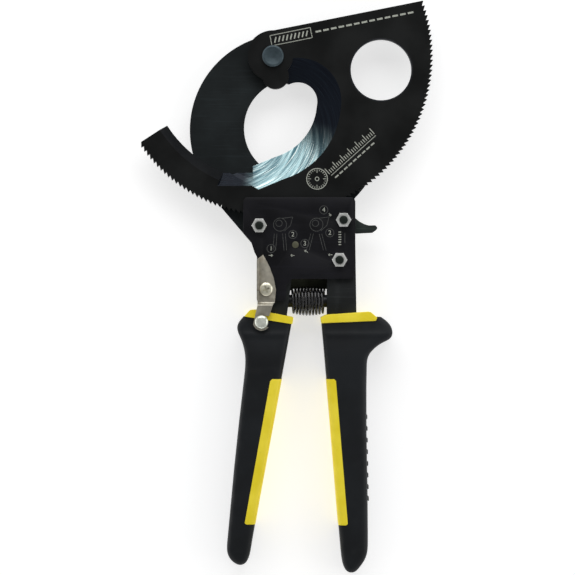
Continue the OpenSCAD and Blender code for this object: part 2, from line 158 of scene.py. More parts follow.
class Socket:
    """A shader socket that can be used in sums."""

    def __init__(self, shader, socket):
        self.shader = shader
        self.socket = socket

    def math(self, operation, *others):
        return self.shader.node("ShaderNodeMath", {"operation": operation}, dict(enumerate([self, *others])))

    def __add__(self, other):
        return self.math("ADD", other)

    __radd__ = __add__

    def __sub__(self, other):
        return self.math("SUBTRACT", other)

    def __rsub__(self, other):
        return self.shader.node("ShaderNodeMath", {"operation": "SUBTRACT"}, {0: other, 1: self})

    def __mul__(self, other):
        return self.math("MULTIPLY", other)

    __rmul__ = __mul__

    def __pow__(self, other):
        return self.math("POWER", other)


class Shader:
    """A material and the few steps that build its nodes."""

    def __init__(self, name):
        self.material = bpy.data.materials.new(name)
        self.material.use_nodes = True
        self.tree = self.material.node_tree
        self.tree.nodes.clear()
        self.surface_node = self.tree.nodes.new("ShaderNodeBsdfPrincipled")
        output = self.tree.nodes.new("ShaderNodeOutputMaterial")
        self.tree.links.new(self.surface_node.outputs[0], output.inputs[0])

    def feed(self, node, key, value):
        if isinstance(value, Socket):
            self.tree.links.new(value.socket, node.inputs[key])
        else:
            node.inputs[key].default_value = value

    def node(self, kind, settings=None, sockets=None, out=0):
        made = self.tree.nodes.new(kind)
        for key, value in (settings or {}).items():
            if key == "stops":
                for stop, (place, colour) in zip(made.color_ramp.elements, value):
                    stop.position = place
                    stop.color = colour
            else:
                setattr(made, key, value)
        for key, value in (sockets or {}).items():
            self.feed(made, key, value)
        return Socket(self, made.outputs[out])

    def place(self):
        return self.node("ShaderNodeTexCoord", out="Object")

    def stretched(self, scale, turn=0.0):
        return self.node(
            "ShaderNodeMapping", sockets={"Vector": self.place(), "Scale": scale, "Rotation": (0, 0, turn)}
        )

    def noise(self, scale, detail=3.0, vector=None, rough=0.5):
        sockets = {"Scale": scale, "Detail": detail, "Roughness": rough, "Vector": vector or self.place()}
        return self.node("ShaderNodeTexNoise", sockets=sockets)

    def ramp(self, value, low, high):
        sockets = {0: value, 1: low, 2: high, 3: 0.0, 4: 1.0}
        return self.node("ShaderNodeMapRange", {"clamp": True, "interpolation_type": "SMOOTHSTEP"}, sockets)

    def mix(self, factor, a, b):
        return self.node("ShaderNodeMix", {"data_type": "RGBA"}, {0: factor, 6: a, 7: b}, out=2)

    def bump(self, height, strength, distance, normal=None):
        sockets = {"Strength": strength, "Distance": distance, "Height": height}
        if normal:
            sockets["Normal"] = normal
        return self.node("ShaderNodeBump", sockets=sockets)

    def finish(self, **sockets):
        for key, value in sockets.items():
            self.feed(self.surface_node, key.replace("_", " "), value)
        return self.material


def tone(colour, gain=1.0):
    """A colour as four numbers, made brighter or darker."""
    return (*(min(1.0, c * gain) for c in colour), 1.0)


def colours():
    return bpy.context.scene.cutter_colours


def sizes():
    return bpy.context.scene.cutter_sizes


MADE = {}


def material(build):
    """Each finish is built once and shared."""

    def once():
        if build.__name__ not in MADE:
            MADE[build.__name__] = build()
        return MADE[build.__name__]

    return once


def oxide(name, colour, rough, gain=1.7):
    """Blackened steel: cloudy colour, fine grain and faint handling marks."""
    s = Shader(name)
    cloud = s.noise(45, 4)
    grain = s.noise(2600, 2)
    rubs = s.ramp(s.noise(1, 3, s.stretched((40, 900, 300), 0.5)), 0.56, 0.72)
    base = s.mix(s.ramp(cloud, 0.3, 0.7), tone(colour, 0.8), tone(colour, gain))
    base = s.mix(rubs * 0.25, base, tone(colour, gain * 2.2))
    return s.finish(
        Base_Color=base,
        Roughness=cloud * 0.14 + grain * 0.08 + (rough - 0.11) - rubs * 0.06,
        Specular_IOR_Level=0.22,
        Normal=s.bump(grain, 0.16, 0.00008),
    )


@material
def blade_steel():
    """Black oxide with a bright ground bevel, streaked along the cut of the wheel. The streaks are the
    steel's grain, but the bevel's bright lower run and its dark top, right and tail are painted light and
    painted shade, set by bearing round the bevel.
    """
    s = Shader("blade_steel")
    colour = colours().blade
    place = s.node("ShaderNodeSeparateXYZ", sockets={0: s.place()})
    x, y = place, Socket(s, place.socket.node.outputs[1])
    up = s.node("ShaderNodeSeparateXYZ", sockets={0: s.node("ShaderNodeNewGeometry", out="Normal")}, out=2)
    ground = s.ramp(up, 0.6, 0.8) * (1 - s.ramp(up, 0.955, 0.985))
    # Distance and bearing from the bevel's centre, so that the streaks turn with the edge
    dx, dy = x - BEVEL_AT[0] * MM, y - BEVEL_AT[1] * MM
    radius = (dx * dx + dy * dy) ** 0.5
    bearing = s.node("ShaderNodeMath", {"operation": "ARCTAN2"}, {0: dy, 1: dx})
    # The wheel's marks cross the edge at a slant
    across = radius * 2300 + bearing * 44
    slant = s.node("ShaderNodeCombineXYZ", sockets={0: across, 1: bearing * 1.6, 2: 0.0})
    streak = s.noise(1, 5, slant, 0.62)
    patch = s.node("ShaderNodeCombineXYZ", sockets={0: radius * 330 + bearing * 9, 1: bearing * 1.2})
    broad = s.noise(1, 3, patch)
    cloud = s.noise(45, 4)
    grain = s.noise(2600, 2)
    black = s.mix(s.ramp(cloud, 0.3, 0.7), tone(colour, 0.8), tone(colour, 1.7))
    # Painted light: the lower run, which faces the key light, is painted bright with near-white painted
    # highlight streaks, and the top, the right and the tail are painted dark as painted shade
    painted_light_mask = s.ramp(bearing, -1.80, -1.55) * (1 - s.ramp(bearing, -0.85, -0.30))
    # Painted shade: near-black navy where the bevel faces away from the lights
    dark = s.mix(s.ramp(streak, 0.4, 0.75), (0.005, 0.007, 0.013, 1), (0.013, 0.021, 0.032, 1))
    # Painted highlight: pale teal patches and near-white streaks on the lower run
    bright = s.mix(s.ramp(broad, 0.35, 0.65), (0.04, 0.09, 0.11, 1), (0.22, 0.33, 0.35, 1))
    bright = s.mix(s.ramp(streak, 0.5, 0.74), bright, (0.86, 0.94, 0.90, 1))
    bright = s.mix(painted_light_mask, dark, bright)
    wave = streak * ground + grain * 0.1
    return s.finish(
        Base_Color=s.mix(ground, black, bright),
        Metallic=ground * (painted_light_mask * 0.55 + 0.35),
        Roughness=(cloud * 0.14 + 0.31) * (1 - ground) + (streak * 0.18 + 0.16) * ground,
        Specular_IOR_Level=0.22,
        Normal=s.bump(wave, 0.3, 0.00012),
    )


@material
def jaw_steel():
    return oxide("jaw_steel", colours().jaw, 0.5, 1.5)


@material
def plate_steel():
    return oxide("plate_steel", colours().plate, 0.46, 1.6)


@material
def tang_steel():
    return oxide("tang_steel", (0.012, 0.0135, 0.014), 0.44, 1.8)


@material
def lever_steel():
    return oxide("lever_steel", (0.020, 0.026, 0.024), 0.46, 1.7)


def plated(name, colour, rough, brush=0.0, metallic=1.0, stain=None):
    """Plated or bare steel with soft blotches, fine scratches and a light brushing."""
    s = Shader(name)
    cloud = s.noise(260, 4)
    scratch = s.ramp(s.noise(1, 3, s.stretched((5000, 260, 900), 0.7)), 0.6, 0.75)
    brushed = s.noise(1, 2, s.stretched((300, 9000, 300), 0.25))
    base = s.mix(s.ramp(cloud, 0.3, 0.75), tone(colour, 0.82), tone(colour, 1.12))
    if stain:
        base = s.mix(s.ramp(s.noise(190, 5), 0.52, 0.68) * 0.6, base, tone(stain))
    height = brushed * brush + grain_of(s) * 0.2 - scratch * 0.3
    return s.finish(
        Base_Color=base,
        Metallic=metallic,
        Roughness=cloud * 0.16 + scratch * 0.14 + (rough - 0.08),
        Normal=s.bump(height, 0.12, 0.00006),
    )


def grain_of(s):
    return s.noise(3200, 2)


@material
def zinc():
    return plated("zinc", (0.90, 0.92, 0.88), 0.24, metallic=0.5)


@material
def bolt_black():
    return plated("bolt_black", (0.016, 0.022, 0.018), 0.34, metallic=0.4)


@material
def olive_steel():
    return oxide("olive_steel", (0.105, 0.112, 0.075), 0.5, 1.4)


@material
def latch_plate():
    return plated("latch_plate", (0.50, 0.47, 0.39), 0.3, 0.5, 0.55, stain=(0.34, 0.29, 0.22))


@material
def latch_screw_steel():
    return plated("latch_screw_steel", (0.82, 0.79, 0.64), 0.2, metallic=0.45, stain=(0.62, 0.42, 0.26))


@material
def stud_steel():
    return plated("stud_steel", (0.86, 0.90, 0.80), 0.2, metallic=0.45)


@material
def pin_steel():
    return plated("pin_steel", (0.15, 0.15, 0.10), 0.42, metallic=0.4)


@material
def bush_steel():
    return plated("bush_steel", (0.035, 0.037, 0.04), 0.4, metallic=0.5)


@material
def pivot_steel():
    """Blued steel head with rings left by the lathe."""
    s = Shader("pivot_steel")
    place = s.node("ShaderNodeSeparateXYZ", sockets={0: s.place()})
    x, y = place, Socket(s, place.socket.node.outputs[1])
    radius = (x * x + y * y) ** 0.5
    rings = (radius * 9500).math("SINE") * 0.5 + 0.5
    cloud = s.noise(320, 3)
    base = s.mix(s.ramp(cloud, 0.3, 0.7), (0.030, 0.048, 0.060, 1), (0.055, 0.082, 0.098, 1))
    return s.finish(
        Base_Color=s.mix(rings * 0.4, base, (0.10, 0.135, 0.15, 1)),
        Metallic=0.45,
        Roughness=cloud * 0.14 + 0.36,
        Normal=s.bump(rings + cloud * 0.3, 0.2, 0.00005),
    )


@material
def grip_rubber():
    """Moulded rubber: pebbled skin, slightly polished on the raised places."""
    s = Shader("grip_rubber")
    colour = colours().rubber
    cell = s.node("ShaderNodeTexVoronoi", {"feature": "SMOOTH_F1"}, {"Vector": s.place(), "Scale": 1500.0})
    cloud = s.noise(30, 4)
    fine = s.noise(4200, 2)
    dust = s.ramp(s.noise(120, 5), 0.55, 0.8)
    base = s.mix(s.ramp(cloud, 0.3, 0.7), tone(colour, 0.8), tone(colour, 1.6))
    base = s.mix(dust * 0.12, base, (0.03, 0.031, 0.03, 1))
    return s.finish(
        Base_Color=base,
        Roughness=cloud * 0.12 + cell * 0.14 + 0.42,
        Specular_IOR_Level=0.3,
        Normal=s.bump(cell + fine * 0.25, 0.28, 0.00009),
    )


@material
def insert_yellow():
    """Soft yellow moulding, a little paler and rubbed in patches."""
    s = Shader("insert_yellow")
    colour = colours().yellow
    cloud = s.noise(70, 4)
    fine = s.noise(3000, 3)
    dirt = s.ramp(s.noise(210, 6), 0.58, 0.82)
    pale = tone((colour[0] * 1.05, colour[1] * 1.08, 0.05))
    base = s.mix(s.ramp(cloud, 0.3, 0.7), tone(colour, 0.94), pale)
    base = s.mix(dirt * 0.12, base, (0.45, 0.33, 0.03, 1))
    return s.finish(
        Base_Color=base,
        Roughness=cloud * 0.14 + fine * 0.1 + 0.36,
        Specular_IOR_Level=0.4,
        Normal=s.bump(fine, 0.12, 0.0001),
    )


@material
def spring_black():
    s = Shader("spring_black")
    cloud = s.noise(300, 3)
    base = s.mix(s.ramp(cloud, 0.35, 0.7), (0.006, 0.006, 0.007, 1), (0.02, 0.02, 0.022, 1))
    return s.finish(
        Base_Color=base,
        Metallic=0.3,
        Roughness=cloud * 0.14 + 0.16,
        Coat_Weight=cloud * 0.3 + 0.4,
        Normal=s.bump(grain_of(s), 0.1, 0.00005),
    )


@material
def etched_mark():
    s = Shader("etched_mark")
    colour = colours().mark
    speck = s.noise(2400, 3)
    base = s.mix(s.ramp(speck, 0.35, 0.62), tone(colour, 0.55), tone(colour, 1.15))
    return s.finish(Base_Color=base, Roughness=speck * 0.2 + 0.5, Normal=s.bump(speck, 0.1, 0.00005))


@material
def floor_white():
    s = Shader("floor_white")
    cloud = s.noise(6, 3)
    base = s.mix(s.ramp(cloud, 0.3, 0.7), (0.60, 0.605, 0.61, 1), (0.63, 0.63, 0.63, 1))
    return s.finish(
        Base_Color=base,
        Roughness=0.8 + cloud * 0.1,
        Specular_IOR_Level=0.1,
        Emission_Color=(1, 1, 1, 1),
        Emission_Strength=0.62,
    )


# ---------- mesh tools ----------


def keep(name, bm, body, finish, replaced=(), sharp=35):
    """Turns a bmesh in millimetres into a finished piece that rides on a body."""
    bmesh.ops.remove_doubles(bm, verts=bm.verts, dist=1e-4)
    bmesh.ops.recalc_face_normals(bm, faces=bm.faces)
    bmesh.ops.scale(bm, vec=(MM, MM, MM), verts=bm.verts)
    mesh = bpy.data.meshes.new(name)
    bm.to_mesh(mesh)
    bm.free()
    mesh.polygons.foreach_set("use_smooth", [True] * len(mesh.polygons))
    mesh.set_sharp_from_angle(angle=math.radians(sharp))
    mesh.materials.append(finish)
    piece = bpy.data.objects.new(name, mesh)
    bpy.context.scene.collection.objects.link(piece)
    if body:
        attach(piece, body)
    if replaced:
        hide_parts(*replaced)
    return piece


def coat(node, finish):
    """Gives a node that keeps its own mesh its finish."""
    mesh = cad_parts[node].data
    mesh.materials.clear()
    mesh.materials.append(finish)


def softened(node, width, body, finish, segments=2, angle=28):
    """A copy of a node with its sharp edges broken, which stands for the node."""
    bm = bmesh.new()
    bm.from_mesh(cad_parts[node].data)
    bmesh.ops.scale(bm, vec=(1 / MM, 1 / MM, 1 / MM), verts=bm.verts)
    bmesh.ops.remove_doubles(bm, verts=bm.verts, dist=1e-3)
    bmesh.ops.dissolve_limit(bm, angle_limit=math.radians(0.6), verts=bm.verts, edges=bm.edges)
    limit = math.radians(angle)
    edges = [e for e in bm.edges if len(e.link_faces) == 2 and e.calc_face_angle(0) > limit]
    bmesh.ops.bevel(
        bm,
        geom=edges,
        offset=width / MM,
        offset_type="OFFSET",
        affect="EDGES",
        segments=segments,
        profile=0.5,
        material=-1,
        clamp_overlap=True,
    )
    return keep(node + "_finished", bm, body, finish, [node], sharp=angle + 4)


def arc(cx, cy, r, a0, a1, n):
    """Points along an arc, angles in degrees."""
    steps = [math.radians(a0 + (a1 - a0) * i / n) for i in range(n + 1)]
    return [(cx + r * math.cos(a), cy + r * math.sin(a)) for a in steps]


def slab(bm, outline, z0, z1):
    """Adds an extruded outline and returns its new vertices."""
    face = bm.faces.new([bm.verts.new((x, y, z0)) for x, y in outline])
    grown = bmesh.ops.extrude_face_region(bm, geom=[face], use_keep_orig=True)
    raised = [v for v in grown["geom"] if isinstance(v, bmesh.types.BMVert)]
    bmesh.ops.translate(bm, vec=(0, 0, z1 - z0), verts=raised)
    return list(face.verts) + raised


def round_corners(outline, radii):
    """An outline with each corner cut to a round; one radius for all, or one for each."""
    bm = bmesh.new()
    verts = [bm.verts.new((x, y, 0)) for x, y in outline]
    bm.faces.new(verts)
    sizes_ = radii if isinstance(radii, (list, tuple)) else [radii] * len(verts)
    for vert, size in zip(verts, sizes_):
        if size:
            bmesh.ops.bevel(
                bm,
                geom=[vert],
                offset=size,
                offset_type="OFFSET",
                affect="VERTICES",
                segments=6,
                profile=0.5,
                material=-1,
                clamp_overlap=True,
            )
    bm.faces.ensure_lookup_table()
    made = [(v.co.x, v.co.y) for v in bm.faces[0].verts]
    bm.free()
    return made


def round_rims(bm, width, segments, faces=None):
    """Rounds the edges between flat faces that look up or down and the walls round them."""
    flat = [f for f in (faces or bm.faces) if abs(f.normal.z) > 0.9]
    rims = {e for f in flat for e in f.edges if any(abs(g.normal.z) < 0.5 for g in e.link_faces)}
    bmesh.ops.bevel(
        bm,
        geom=list(rims),
        offset=width,
        offset_type="OFFSET",
        affect="EDGES",
        segments=segments,
        profile=0.5,
        material=-1,
        clamp_overlap=True,
    )


def plank(outline, z0, z1, corner, edge, segments=3):
    """A flat piece with round corners and soft rims."""
    bm = bmesh.new()
    slab(bm, round_corners(outline, corner) if corner else outline, z0, z1)
    bmesh.ops.recalc_face_normals(bm, faces=bm.faces)
    bm.normal_update()
    round_rims(bm, edge, segments)
    return bm


def turned(bm, profile, x, y, steps=48):
    """Adds a turned shape: profile is (radius, height) from the axis back to the axis."""
    verts = [bm.verts.new((r, 0, z)) for r, z in profile]
    edges = [bm.edges.new(pair) for pair in zip(verts, verts[1:])]
    start = set(bm.verts) - set(verts)
    bmesh.ops.spin(
        bm, geom=verts + edges, cent=(0, 0, 0), axis=(0, 0, 1), angle=TAU, steps=steps, use_merge=True
    )
    fresh = [v for v in bm.verts if v not in start]
    bmesh.ops.remove_doubles(bm, verts=fresh, dist=1e-4)
    fresh = [v for v in bm.verts if v not in start]
    bmesh.ops.translate(bm, vec=(x, y, 0), verts=fresh)


def slice_across(bm, places, axis=1):
    """Adds cross cuts, so that a later bend is smooth."""
    for place in places:
        point = [0, 0, 0]
        normal = [0, 0, 0]
        point[axis], normal[axis] = place, 1
        geom = bm.verts[:] + bm.edges[:] + bm.faces[:]
        bmesh.ops.bisect_plane(bm, geom=geom, plane_co=point, plane_no=normal, dist=1e-5)


def smoothstep(t):
    t = min(1.0, max(0.0, t))
    return t * t * (3 - 2 * t)


# ---------- blades ----------


class CUTTER_OT_blades(bpy.types.Operator):
    """Finish the moving blade and the fixed blade"""

    bl_idname = "cutter.blades"
    bl_label = "Blades"

    def execute(self, context):
        coat("moving_blade", blade_steel())
        coat("fixed_blade", jaw_steel())
        return {"FINISHED"}


class CUTTER_OT_pivot(bpy.types.Operator):
    """Turn the main pivot bolt and finish its nut and washer"""

    bl_idname = "cutter.pivot"
    bl_label = "Main pivot"

    def execute(self, context):
        low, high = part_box("pivot_bolt")
        head = (high[0] - low[0]) / 2 / MM
        crown = high[2] / MM
        under = crown - 2.2
        shank = 5.0
        bm = bmesh.new()
        profile = [
            (0, crown - 0.35),
            (0.5, crown - 0.3),
            (head - 1.9, crown - 0.25),
            (head - 1.5, crown - 0.05),
            (head - 1.0, crown),
            (head - 0.55, crown - 0.12),
            (head - 0.15, crown - 0.5),
            (head, crown - 0.95),
            (head, under + 0.15),
            (head - 0.15, under),
            (shank, under),
            (shank, low[2] / MM + 0.5),
            (shank - 0.5, low[2] / MM),
            (0, low[2] / MM),
        ]
        turned(bm, profile, 0, 0, 72)
        keep("pivot_bolt_turned", bm, "frame", pivot_steel(), ["pivot_bolt"])
        softened("pivot_nut", 0.4 * MM, "frame", pivot_steel())
        coat("pivot_washer", pivot_steel())
        return {"FINISHED"}


# ---------- frame ----------


class CUTTER_OT_frame(bpy.types.Operator):
    """Break the edges of the frame plates, the tangs and the release lever"""

    bl_idname = "cutter.frame_plates"
    bl_label = "Frame"

    def execute(self, context):
        edge = sizes().edge_break
        softened("front_plate", edge, "frame", plate_steel())
        softened("rear_plate", edge, "frame", olive_steel())
        softened("fixed_tang", edge * 1.5, "frame", tang_steel())
        softened("moving_tang", edge * 1.5, "handle", tang_steel())
        softened("release_lever", edge, "lever", lever_steel())
        coat("drive_pawl", tang_steel())
        for node in ("frame_bushes", "spring_seat_fixed", "spring_seat_moving"):
            coat(node, bush_steel())
        for node in ("tang_dowel", "drive_pawl_pin"):
            coat(node, pin_steel())
        for node in ("drive_pawl_spring", "release_lever_spring"):
            coat(node, zinc())
        softened("handle_pivot_pin", 0.15 * MM, "frame", pin_steel())
        return {"FINISHED"}


class CUTTER_OT_fasteners(bpy.types.Operator):
    """Finish the frame bolts and their nuts"""

    bl_idname = "cutter.fasteners"
    bl_label = "Bolts and nuts"

    def execute(self, context):
        softened("frame_nuts", 0.18 * MM, "frame", zinc())
        softened("frame_bolts", 0.35 * MM, "frame", bolt_black())
        return {"FINISHED"}


# ---------- handles ----------

# Outlines down each grip from its collar: x, distance along Y from the collar, corner radius
MOVING_LINE = [
    (-16.6, 0.2, 1),
    (-21.8, -5.4, 2.5),
    (-22, -8.4, 2.5),
    (-16.3, -20.5, 7),
    (-16.6, -31, 8),
    (-18.8, -50.5, 12),
    (-22, -77.5, 14),
    (-28, -142, 3),
    (-25.8, -146.5, 3),
    (-19.8, -151, 3),
    (-16, -148.7, 2),
    (-14, -145, 6),
    (-10.6, -124, 12),
    (5.3, -37.7, 20),
    (12.8, 4, 0),
    (-13, 6, 0),
]
FIXED_LINE = [
    (57, 6, 0),
    (63.4, -0.4, 2),
    (69.2, -4, 3),
    (72.2, -9, 3),
    (71.6, -14, 3),
    (60.4, -19, 6),
    (56.3, -25.7, 6),
    (55.8, -56.5, 14),
    (56.9, -116.5, 14),
    (56.9, -143.5, 4),
    (53.8, -148.7, 4),
    (48.4, -155.5, 3),
    (44, -154, 3),
    (41.4, -149.5, 3),
    (39.4, -128.5, 12),
    (32, -37.7, 20),
    (28, 6, 0),
]
# Lower edge of each collar from its left end to its right, down from the collar line
MOVING_COLLAR = ((-17.4, -0.9), (11.7, -5.5))
FIXED_COLLAR = ((57, -1.2), (62.6, -1.2))
# Cell of the remesh that rounds the grips, and the number of times that it is smoothed
GRIP_CELL = 1.1
GRIP_PASSES = 34


def melted(bm, cell, passes):
    """Remeshes a solid in even cells and smooths it, which rounds every edge."""
    mesh = bpy.data.meshes.new("melt")
    bm.to_mesh(mesh)
    bm.free()
    holder = bpy.data.objects.new("melt", mesh)
    bpy.context.scene.collection.objects.link(holder)
    cells = holder.modifiers.new("cells", "REMESH")
    cells.mode = "VOXEL"
    cells.voxel_size = cell
    relax = holder.modifiers.new("relax", "SMOOTH")
    relax.factor = 0.5
    relax.iterations = passes
    bpy.context.view_layer.update()
    made = bpy.data.meshes.new_from_object(holder.evaluated_get(bpy.context.evaluated_depsgraph_get()))
    bpy.data.objects.remove(holder)
    out = bmesh.new()
    out.from_mesh(made)
    return out


def grip_solid(line, inset):
    """A grip with well rounded edges, slimmer at the neck, with a soft ridge across its guard."""
    neck = NECK_Y / MM
    outline = [(x, neck + y) for x, y, r in line]
    bm = bmesh.new()
    slab(bm, round_corners(outline, [r for x, y, r in line]), GRIP_LOW / MM + inset, GRIP_HIGH / MM - inset)
    bmesh.ops.recalc_face_normals(bm, faces=bm.faces)
    bm = melted(bm, GRIP_CELL, GRIP_PASSES)
    centre = (GRIP_LOW + GRIP_HIGH) / 2 / MM
    for v in bm.verts:
        slim = 1 - smoothstep((neck - 4 - v.co.y) / 24)
        ridge = 0.035 * math.exp(-(((v.co.y - neck + 11.7) / 1.6) ** 2))
        v.co.z = centre + (v.co.z - centre) * (1 - 0.165 * slim + ridge)
    return bm


def trim(bm, point, normal):
    """Cuts away what lies in front of a plane and closes the cut."""
    geom = bm.verts[:] + bm.edges[:] + bm.faces[:]
    cut = bmesh.ops.bisect_plane(
        bm, geom=geom, plane_co=point, plane_no=normal, dist=1e-5, clear_outer=True
    )
    rim = [e for e in cut["geom_cut"] if isinstance(e, bmesh.types.BMEdge)]
    bmesh.ops.holes_fill(bm, edges=rim, sides=0)


def trim_line(bm, ends):
    """Cuts a grip off above a line given by its two ends, left to right."""
    (ax, ay), (bx, by) = ends
    trim(bm, (ax, NECK_Y / MM + ay, 0), Vector((ay - by, bx - ax, 0)).normalized())


def swell(bm, amount):
    """Moves every vertex out along its normal."""
    bm.normal_update()
    for v, out in [(v, v.normal.copy()) for v in bm.verts]:
        v.co += out * amount


def insert_solid(line, side, corners):
    """The part of a grip that is yellow, a little proud of the rest."""
    bm = grip_solid(line, 0.45)
    (ax, ay), (bx, by) = corners
    neck = NECK_Y / MM
    trim(bm, (0, neck + ay, 0), (0, 1, 0))
    trim(bm, (0, neck + by, 0), (0, -1, 0))
    along = Vector((bx - ax, by - ay, 0)).normalized()
    trim(bm, (ax, neck + ay, 0), (-along.y * side, along.x * side, 0))
    for cx, cy, sign in ((ax, ay, 1), (bx, by, -1)):
        for reach, lean in ((0.55, 2.4), (0.9, 1), (0.55, 0.42)):
            trim(bm, (cx - side * reach * min(1, 1 / lean), neck + cy, 0), (side * lean, sign, 0))
    swell(bm, sizes().insert_proud / MM)
    return bm


class CUTTER_OT_grips(bpy.types.Operator):
    """Mould the grips, their yellow inserts and collars, and the ribs"""

    bl_idname = "cutter.grips"
    bl_label = "Grips"

    def execute(self, context):
        neck = NECK_Y / MM
        bm = grip_solid(MOVING_LINE, 0.45)
        trim_line(bm, MOVING_COLLAR)
        keep("moving_grip_moulded", bm, "handle", grip_rubber(), ["moving_grip"])
        bm = grip_solid(FIXED_LINE, 0.45)
        trim_line(bm, FIXED_COLLAR)
        keep("fixed_grip_moulded", bm, "frame", grip_rubber(), ["fixed_grip"])
        moving = insert_solid(MOVING_LINE, -1, ((-1.3, -38.5), (-16.8, -125)))
        keep("moving_insert_moulded", moving, "handle", insert_yellow(), ["moving_insert"])
        fixed = insert_solid(FIXED_LINE, 1, ((37.4, -38.5), (44.6, -125.5)))
        keep("fixed_insert_moulded", fixed, "frame", insert_yellow(), ["fixed_insert"])
        low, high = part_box("moving_collar")
        outline = [(-17.2, -0.9), (11.7, -5.5), (12.3, -1.3), (-10.5, 3.2), (-13.8, 3)]
        collar = plank(
            [(x, neck + y) for x, y in outline], low[2] / MM, high[2] / MM, [0.4, 0.5, 0.8, 0.8, 0.8], 0.9
        )
        keep("moving_collar_moulded", collar, "handle", insert_yellow(), ["moving_collar"])
        outline = [(28.4, -1.5), (31.8, 0.2), (58.3, 2), (62.4, -1.6), (61.6, -3.6), (28.9, -5)]
        collar = plank(
            [(x, neck + y) for x, y in outline], low[2] / MM, high[2] / MM, [0.5, 1, 1, 0.5, 0.4, 0.4], 0.9
        )
        keep("fixed_collar_moulded", collar, "frame", insert_yellow(), ["fixed_collar"])
        softened("grip_ribs", 0.7 * MM, "frame", rib_rubber(), segments=4)
        return {"FINISHED"}


@material
def rib_rubber():
    s = Shader("rib_rubber")
    cloud = s.noise(160, 3)
    base = s.mix(s.ramp(cloud, 0.3, 0.7), (0.035, 0.038, 0.036, 1), (0.075, 0.08, 0.075, 1))
    return s.finish(Base_Color=base, Roughness=cloud * 0.1 + 0.5, Normal=s.bump(grain_of(s), 0.12, 0.0001))


class CUTTER_OT_spring(bpy.types.Operator):
    """Wind the barrel spring between the handles"""

    bl_idname = "cutter.spring"
    bl_label = "Barrel spring"

    def execute(self, context):
        low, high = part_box("handle_spring")
        wire = sizes().wire
        turns = sizes().coils
        belly = (high[1] - low[1]) / 2 - wire / 2
        waist = belly * 0.8
        centre = (Vector(low) + Vector(high)) / 2
        steps = turns * 28
        curve = bpy.data.curves.new("spring_line", "CURVE")
        curve.dimensions = "3D"
        spline = curve.splines.new("POLY")
        spline.points.add(steps)
        for i, point in enumerate(spline.points):
            t = i / steps
            radius = waist + (belly - waist) * math.sin(math.pi * t) ** 0.7
            a = t * turns * TAU
            x = low[0] + wire / 2 + (high[0] - low[0] - wire) * t
            point.co = (x, centre.y + radius * math.cos(a), centre.z + radius * math.sin(a), 1)
        curve.bevel_depth = wire / 2
        curve.bevel_resolution = 3
        curve.use_fill_caps = True
        holder = bpy.data.objects.new("spring_holder", curve)
        context.scene.collection.objects.link(holder)
        context.view_layer.update()
        mesh = bpy.data.meshes.new_from_object(holder.evaluated_get(context.evaluated_depsgraph_get()))
        bpy.data.objects.remove(holder)
        bm = bmesh.new()
        bm.from_mesh(mesh)
        bmesh.ops.scale(bm, vec=(1 / MM, 1 / MM, 1 / MM), verts=bm.verts)
        spring = keep("barrel_spring", bm, None, spring_black(), ["handle_spring"], 60)
        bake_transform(spring)
        return {"FINISHED"}


# ---------- latch ----------


